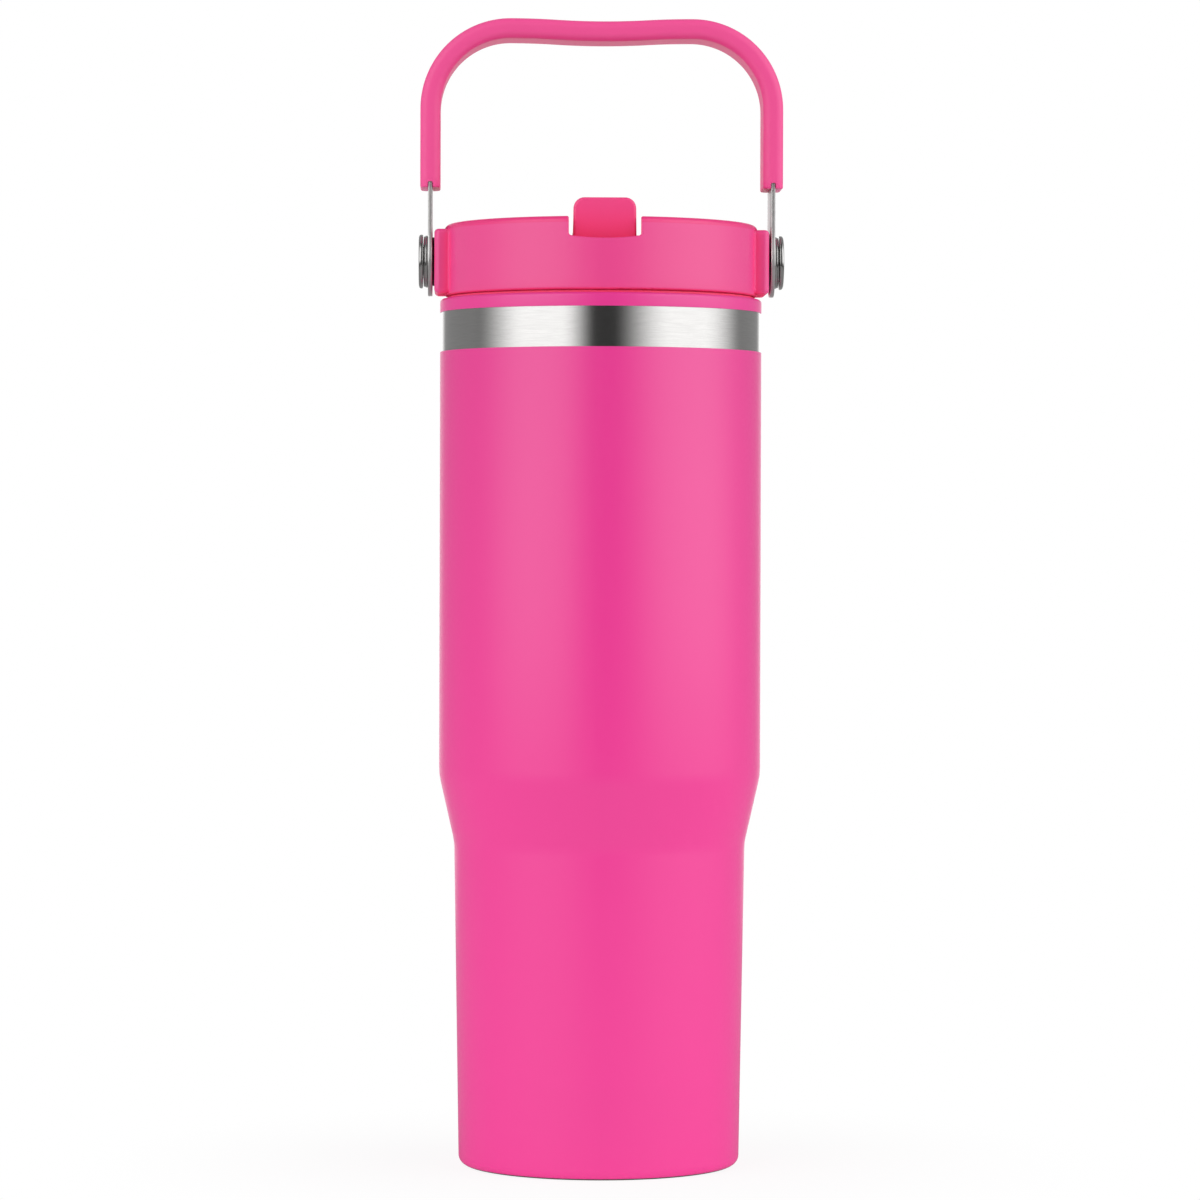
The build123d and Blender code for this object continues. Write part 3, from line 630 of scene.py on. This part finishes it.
# ---------------------------------------------------------------- materials
def linear(red, green, blue):
    """Display colour of 0 to 255 as linear RGBA."""
    values = []
    for value in (red, green, blue):
        value /= 255
        values.append(value / 12.92 if value <= 0.04045 else ((value + 0.055) / 1.055) ** 2.4)
    return (*values, 1)


TAB_ROOT = 256 * MM         # bottom of what the notch shows of the thumb tab
RIM_SHADE_BAND = 1.5 * MM         # height of the band of painted shade along the lid's top edge
COAT_PINK = linear(207, 44, 128)
LID_PINK = linear(211, 58, 126)
# Painted shade: the deeper pink of the band along the lid's top edge.
RIM_SHADE_PINK = linear(212, 38, 112)
TAB_PINK = linear(219, 54, 117)
# Painted shade: the deeper pink low at the front of the thumb tab's root.
TAB_ROOT_SHADE_PINK = linear(222, 30, 94)
GRIP_PINK = linear(219, 65, 133)
SEAL_PINK = linear(246, 58, 110)
# Painted shade: the deeper pink of the lid's inner corners.
CORNER_SHADE_PINK = linear(236, 42, 108)
DARK_STEEL = (0.44, 0.434, 0.428, 1)
PALE_STEEL = (0.6, 0.592, 0.585, 1)
BRASS = (0.78, 0.56, 0.27, 1)


def new_material(name, color, roughness, **sockets):
    """Material and its shader. sockets are further values of the shader, with _ for the spaces."""
    material = bpy.data.materials.new(name)
    material.use_nodes = True
    shader = material.node_tree.nodes["Principled BSDF"]
    shader.inputs["Base Color"].default_value = color
    shader.inputs["Roughness"].default_value = roughness
    for socket, value in sockets.items():
        shader.inputs[socket.replace("_", " ")].default_value = value
    return material, shader


def place_coordinates(material, scale=(1, 1, 1)):
    """Coordinates in metres, fixed to the piece."""
    nodes, links = material.node_tree.nodes, material.node_tree.links
    where = nodes.new("ShaderNodeTexCoord")
    mapping = nodes.new("ShaderNodeMapping")
    mapping.inputs["Scale"].default_value = scale
    links.new(where.outputs["Object"], mapping.inputs["Vector"])
    return mapping.outputs["Vector"]


def noise(material, vector, scale, detail=2, roughness=0.5):
    """Noise of scale waves per metre."""
    node = material.node_tree.nodes.new("ShaderNodeTexNoise")
    node.inputs["Scale"].default_value = scale
    node.inputs["Detail"].default_value = detail
    node.inputs["Roughness"].default_value = roughness
    material.node_tree.links.new(vector, node.inputs["Vector"])
    return node.outputs["Fac"]


def remap(material, value, lowest, highest):
    """Noise value mapped from its usual middle range to lowest..highest."""
    node = material.node_tree.nodes.new("ShaderNodeMapRange")
    node.inputs["From Min"].default_value = 0.3
    node.inputs["From Max"].default_value = 0.7
    node.inputs["To Min"].default_value = lowest
    node.inputs["To Max"].default_value = highest
    material.node_tree.links.new(value, node.inputs["Value"])
    return node.outputs["Result"]


def add_bump(material, shader, height, strength, distance):
    """Surface relief. distance is the relief's depth in metres."""
    nodes, links = material.node_tree.nodes, material.node_tree.links
    bump = nodes.new("ShaderNodeBump")
    bump.inputs["Strength"].default_value = strength
    bump.inputs["Distance"].default_value = distance
    links.new(height, bump.inputs["Height"])
    previous = shader.inputs["Normal"].links
    if previous:
        links.new(previous[0].from_socket, bump.inputs["Normal"])
    links.new(bump.outputs["Normal"], shader.inputs["Normal"])


def vary_color(material, shader, factor, first, second=None):
    """Base colour from first, where factor is 0, to second, or without a second to the colour it had."""
    nodes, links = material.node_tree.nodes, material.node_tree.links
    base = shader.inputs["Base Color"]
    mix = nodes.new("ShaderNodeMix")
    mix.data_type = "RGBA"
    mix.inputs["A"].default_value = first
    if second:
        mix.inputs["B"].default_value = second
    else:
        links.new(base.links[0].from_socket, mix.inputs["B"])
    links.new(factor, mix.inputs["Factor"])
    links.new(mix.outputs["Result"], base)


def vary_roughness(material, shader, value):
    material.node_tree.links.new(value, shader.inputs["Roughness"])


def shade(color, factor):
    """The colour made darker by a factor."""
    return (color[0] * factor, color[1] * factor, color[2] * factor, 1)


def paint_corner_shade(material, shader, color, reach):
    """Painted shade in inner corners: a deeper colour where ambient occlusion finds walls close by, standing for
    their shade and the coloured light they cast on each other; the corners are made duller too.
    """
    tree = material.node_tree
    openness = tree.nodes.new("ShaderNodeAmbientOcclusion")
    openness.samples = 8
    openness.inputs["Distance"].default_value = reach
    opened = fade(tree, openness.outputs["AO"], 0.6, 0.98)
    # Painted shade: the corner colour is mixed in where walls close in.
    vary_color(material, shader, opened, color)
    rough = shader.inputs["Roughness"].links[0].from_socket
    dull = math_node(tree, "MULTIPLY_ADD", opened, -0.6, 0.6)
    vary_roughness(material, shader, math_node(tree, "ADD", rough, dull, clamp=True))


def powder_coat():
    """Satin powder coating: fine orange peel, with a still finer grain."""
    material, shader = new_material("powder_coat", COAT_PINK, 0.34)
    where = place_coordinates(material)
    vary_color(material, shader, noise(material, where, 60, 3), shade(COAT_PINK, 0.985), COAT_PINK)
    vary_roughness(material, shader, remap(material, noise(material, where, 900), 0.31, 0.37))
    add_bump(material, shader, noise(material, where, 1400), 0.25, 0.02 * MM)
    add_bump(material, shader, noise(material, where, 5200, 1), 0.2, 0.008 * MM)
    return material


def moulded(name, color, roughness, grain=2600):
    """Matte moulded plastic with a fine spark-eroded grain: the material and its shader."""
    material, shader = new_material(name, color, roughness)
    where = place_coordinates(material)
    vary_color(material, shader, noise(material, where, 90, 3), shade(color, 0.98), color)
    rough = remap(material, noise(material, where, grain / 2), roughness - 0.04, roughness + 0.04)
    vary_roughness(material, shader, rough)
    add_bump(material, shader, noise(material, where, grain, 3, 0.6), 0.25, 0.012 * MM)
    return material, shader


def brushed(name, stretch, roughness, color=DARK_STEEL, anisotropic=0.0):
    """Metal with brushing lines: the material and its shader.

    stretch is how much finer the pattern is along X, Y and Z.
    """
    material, shader = new_material(name, color, roughness, Metallic=1.0)
    shader.inputs["Anisotropic"].default_value = anisotropic
    shader.inputs["Anisotropic Rotation"].default_value = 0.25
    where = place_coordinates(material, stretch)
    fine = noise(material, where, 900, 4, 0.7)
    coarse = noise(material, where, 160, 3, 0.6)
    vary_roughness(material, shader, remap(material, fine, roughness - 0.05, roughness + 0.06))
    vary_color(material, shader, remap(material, coarse, 0, 1), shade(color, 0.9), color)
    add_bump(material, shader, fine, 0.12, 0.01 * MM)
    return material, shader


def turned_round(material, shader, axis):
    """Brushing lines that run round an axis, so that highlights spread along it."""
    tangent = material.node_tree.nodes.new("ShaderNodeTangent")
    tangent.direction_type = "RADIAL"
    tangent.axis = axis
    material.node_tree.links.new(tangent.outputs["Tangent"], shader.inputs["Tangent"])
    return material


def flask_steel():
    return turned_round(*brushed("band_steel", (1, 1, 30), 0.17, anisotropic=0.75), "Z")


def hardware_steel():
    return turned_round(*brushed("hardware_steel", (30, 1, 1), 0.2, anisotropic=0.5), "X")


def place_axes(material):
    """Coordinates X, Y and Z in metres, fixed to the piece, as three outputs."""
    split = material.node_tree.nodes.new("ShaderNodeSeparateXYZ")
    material.node_tree.links.new(place_coordinates(material), split.inputs[0])
    return split.outputs


def lid_plastic():
    """The lid's plastic, with painted shade: a deeper colour in inner corners and along the rim's top edge."""
    material, shader = moulded("lid_plastic", LID_PINK, 0.36)
    # Painted shade in the lid's inner corners.
    paint_corner_shade(material, shader, CORNER_SHADE_PINK, 5 * MM)
    # Painted shade: a band of deeper pink along the rim's top edge.
    band_low = high("lid_housing").z - RIM_SHADE_BAND
    z = place_axes(material)[2]
    vary_color(material, shader, fade(material.node_tree, z, band_low, band_low - 0.4 * MM), RIM_SHADE_PINK)
    return material


def tab_plastic():
    """The spout's plastic, with painted shade at the front of the thumb tab's root: a deeper colour there."""
    material, shader = moulded("spout_plastic", TAB_PINK, 0.44)
    tree = material.node_tree
    front = low("flip_spout").y
    _, y, z = place_axes(material)
    above = fade(tree, z, TAB_ROOT, high("flip_spout").z)
    behind = fade(tree, y, front + 2.5 * MM, front + 5 * MM)
    # Painted shade: deeper pink low down and at the front of the tab.
    vary_color(material, shader, math_node(tree, "ADD", above, behind, clamp=True), TAB_ROOT_SHADE_PINK)
    return material


def silicone(name, color):
    """Soft rubber that lets a little light in."""
    material, shader = new_material(name, color, 0.55)
    shader.inputs["Subsurface Weight"].default_value = 0.15
    shader.inputs["Subsurface Radius"].default_value = (1.0, 0.5, 0.4)
    shader.inputs["Subsurface Scale"].default_value = 0.8 * MM
    where = place_coordinates(material)
    vary_color(material, shader, noise(material, where, 120, 3), shade(color, 0.94), color)
    add_bump(material, shader, noise(material, where, 1800), 0.2, 0.01 * MM)
    return material


def clear_plastic():
    """Translucent pink, with faint lengthwise drawing lines."""
    material, shader = new_material("straw_plastic", linear(250, 150, 195), 0.22)
    shader.inputs["Transmission Weight"].default_value = 0.55
    shader.inputs["IOR"].default_value = 1.49
    where = place_coordinates(material, (1, 1, 0.05))
    lines = noise(material, where, 700)
    vary_roughness(material, shader, remap(material, lines, 0.18, 0.28))
    add_bump(material, shader, lines, 0.15, 0.01 * MM)
    return material


def solder_glass():
    """Cloudy grey-green glass bead."""
    material, shader = new_material("solder_glass", linear(92, 100, 96), 0.12)
    where = place_coordinates(material)
    cloud = noise(material, where, 700, 3)
    vary_color(material, shader, cloud, linear(70, 78, 74), linear(118, 126, 120))
    add_bump(material, shader, noise(material, where, 500), 0.2, 0.03 * MM)
    return material


def sintered():
    """Pressed metal powder, rough and grey."""
    material, shader = new_material("getter_alloy", linear(96, 96, 98), 0.6, Metallic=0.7)
    where = place_coordinates(material)
    grains = noise(material, where, 1500, 4)
    vary_color(material, shader, grains, linear(60, 60, 62), linear(124, 124, 126))
    add_bump(material, shader, grains, 0.6, 0.05 * MM)
    return material


def wear(piece, material):
    """Gives a piece or a model node its one material."""
    slots = piece.data.materials
    if not len(slots):
        slots.append(material)
    for i in range(len(slots)):
        slots[i] = material


# ---------------------------------------------------------------- put together
LOOKS = {
    "powder_coat": powder_coat(),
    "steel": flask_steel(),
    "strap_steel": brushed("strap_steel", (1, 30, 1), 0.4, PALE_STEEL)[0],
    "lid_plastic": lid_plastic(),
    "plug_plastic": moulded("plug_plastic", LID_PINK, 0.46)[0],
    "spout_plastic": tab_plastic(),
    "grip_plastic": moulded("grip_plastic", GRIP_PINK, 0.52, grain=2000)[0],
    "silicone": silicone("pink_silicone", SEAL_PINK),
    "straw_plastic": clear_plastic(),
    "black_nylon": moulded("black_nylon", linear(26, 25, 27), 0.5, grain=1800)[0],
    "brass": brushed("insert_brass", (30, 1, 1), 0.3, BRASS)[0],
    "base_cover": moulded("base_disc", linear(196, 40, 112), 0.55, grain=1500)[0],
    "solder_glass": solder_glass(),
    "getter_alloy": sintered(),
}
HARDWARE_STEEL = hardware_steel()
HARDWARE = ("pivot_studs", "disc_springs", "head_washers")  # steel pieces turned round the pivot's axis

pieces = {
    "body_coating": (body_coating(), "flask", "powder_coat"),
    "rim_coating": (rim_coating(), "flask", "powder_coat"),
    "outer_shell": (outer_shell(), "flask", "steel"),
    "lid_seal": (lid_seal(), "seal", "silicone"),
    "straw": (straw(), "lid", "straw_plastic"),
    "handle_grip": (grip(), "handle", "grip_plastic"),
    "handle_strap": (strap(), "handle", "strap_steel"),
    "pivot_studs": (stud(), "lid", "steel"),
    "disc_springs": (disc_springs(), "lid", "steel"),
    "head_washers": (washer("head_washer_pair", "head_washers", 0.3 * MM), "lid", "steel"),
    "inner_washers": (washer("inner_washer_pair", "inner_washers", 0.15 * MM), "lid", "black_nylon"),
}
for node, (piece, body, slot) in pieces.items():
    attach(piece, body)
    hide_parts(node)
    wear(piece, HARDWARE_STEEL if node in HARDWARE else LOOKS[slot])

node_slots = {part["node"]: part["material_slot"] for part in frame["record"]["subparts"]}
for name, node in frame["nodes"].items():
    wear(node, LOOKS[node_slots[name]])
finish_model_meshes()


# ---------------------------------------------------------------- floor, light and camera
SOFT_LIGHT = 2.3            # the two tall lights
FILL_LIGHT = 0.07           # the dim front of the room
SIDE_LIGHT = 0.33           # its sides and back
BACK_LIGHT = 1.1            # the white wall straight behind the object
FLOOR_LIGHT = 0.66          # the lit floor, which gives no highlights
SOFT_FILL = 0.2             # light from all round that gives no highlights
SIDE_FILL = 0.5             # more of it from the left and the right
WHITE = (1, 1, 1, 1)


def floor():
    """Pale floor of the white room, with a faint shadow under the object: partly its real shadow, partly painted
    shade near the foot.
    """
    radius = 0.8
    roughness = 0.8
    bm = bmesh.new()
    bmesh.ops.create_circle(bm, cap_ends=True, cap_tris=True, segments=128, radius=radius)
    piece = new_piece("studio_floor", bm)
    matte = {"Specular_IOR_Level": 0.0, "Emission_Color": WHITE}
    material, shader = new_material("pale_floor", WHITE, roughness, **matte)
    tree = material.node_tree
    nodes, links = tree.nodes, tree.links
    path = nodes.new("ShaderNodeLightPath")
    # Highlights see a darker floor, and matte surfaces get light from it.
    pale = math_node(tree, "MULTIPLY_ADD", path.outputs["Is Glossy Ray"], -0.4, 0.8)
    links.new(pale, shader.inputs["Base Color"])
    lit = math_node(tree, "MULTIPLY_ADD", path.outputs["Is Diffuse Ray"], FLOOR_LIGHT, 0.02)
    links.new(lit, shader.inputs["Emission Strength"])
    # The camera sees it white away from the foot. Close to the foot a little of the lit floor is mixed in, which
    # shows its real shadow and also paints it a little darker there.
    length = nodes.new("ShaderNodeVectorMath")
    length.operation = "LENGTH"
    links.new(place_coordinates(material), length.inputs[0])
    away = fade(tree, length.outputs["Value"], 0.04, 0.16)
    bright = math_node(tree, "MULTIPLY_ADD", away, 0.12, 0.88)
    glow = nodes.new("ShaderNodeEmission")
    glow.inputs["Color"].default_value = WHITE
    mix = nodes.new("ShaderNodeMixShader")
    links.new(product(tree, bright, path.outputs["Is Camera Ray"]), mix.inputs["Fac"])
    links.new(shader.outputs["BSDF"], mix.inputs[1])
    links.new(glow.outputs[0], mix.inputs[2])
    links.new(mix.outputs[0], nodes["Material Output"].inputs["Surface"])
    wear(piece, material)


def background(tree, strength=1.0):
    """White light of the world, of a fixed strength or a node's."""
    node = tree.nodes.new("ShaderNodeBackground")
    node.inputs["Color"].default_value = WHITE
    if isinstance(strength, float):
        node.inputs["Strength"].default_value = strength
    else:
        tree.links.new(strength, node.inputs["Strength"])
    return node.outputs[0]


def studio():
    """White room with two tall soft lights, left and right of the camera.

    Azimuth is in degrees, 0 at the front and positive towards the right.
    """
    world = bpy.data.worlds.new("studio")
    world.use_nodes = True
    tree = world.node_tree
    tree.nodes.clear()
    where = tree.nodes.new("ShaderNodeTexCoord").outputs["Generated"]
    split = tree.nodes.new("ShaderNodeSeparateXYZ")
    tree.links.new(where, split.inputs[0])
    x, y, z = split.outputs
    forward = product(tree, y, -1)
    azimuth = math_node(tree, "DEGREES", math_node(tree, "ARCTAN2", x, forward))
    elevation = math_node(tree, "DEGREES", math_node(tree, "ARCSINE", z))
    upright = product(tree, fade(tree, elevation, -10, 3), fade(tree, elevation, 70, 42))
    left = product(tree, fade(tree, azimuth, -102, -58), fade(tree, azimuth, -5, -30), upright)
    right = product(tree, fade(tree, azimuth, 7, 50), fade(tree, azimuth, 120, 76), upright)
    behind = fade(tree, y, 0.88, 0.98)
    lights = product(tree, total(tree, left, right), SOFT_LIGHT)
    room = math_node(tree, "MULTIPLY_ADD", behind, BACK_LIGHT, FILL_LIGHT)
    side = product(tree, fade(tree, y, -0.3, 0.3), SIDE_LIGHT)
    path = tree.nodes.new("ShaderNodeLightPath")
    flank = product(tree, fade(tree, math_node(tree, "ABSOLUTE", x), 0.4, 0.95), SIDE_FILL)
    even = product(tree, path.outputs["Is Diffuse Ray"], total(tree, flank, SOFT_FILL))
    mix = tree.nodes.new("ShaderNodeMixShader")
    out = tree.nodes.new("ShaderNodeOutputWorld")
    tree.links.new(path.outputs["Is Camera Ray"], mix.inputs["Fac"])
    tree.links.new(background(tree, total(tree, lights, room, side, even)), mix.inputs[1])
    tree.links.new(background(tree), mix.inputs[2])
    tree.links.new(mix.outputs[0], out.inputs["Surface"])
    bpy.context.scene.world = world


def camera():
    """Photograph's view: a long lens, a little above the middle of the flask, nearly level."""
    distance = 1.35
    height = 0.1738
    azimuth = math.radians(1.5)
    pitch = math.radians(0.663)
    roll = 0.0028               # radians
    lens = bpy.data.cameras.new("camera")
    lens.sensor_width = 36
    lens.lens = 144.4
    lens.clip_end = 100
    eye = bpy.data.objects.new("camera", lens)
    turn = Matrix.Rotation(-azimuth, 4, "Z") @ Matrix.Rotation(math.pi / 2 - pitch, 4, "X")
    turn = turn @ Matrix.Rotation(roll, 4, "Z")
    place = Vector((-distance * math.sin(azimuth), -distance * math.cos(azimuth), height))
    eye.matrix_world = Matrix.Translation(place) @ turn
    bpy.context.scene.collection.objects.link(eye)
    bpy.context.scene.camera = eye


floor()
studio()
camera()
bpy.context.scene.view_settings.view_transform = "Standard"
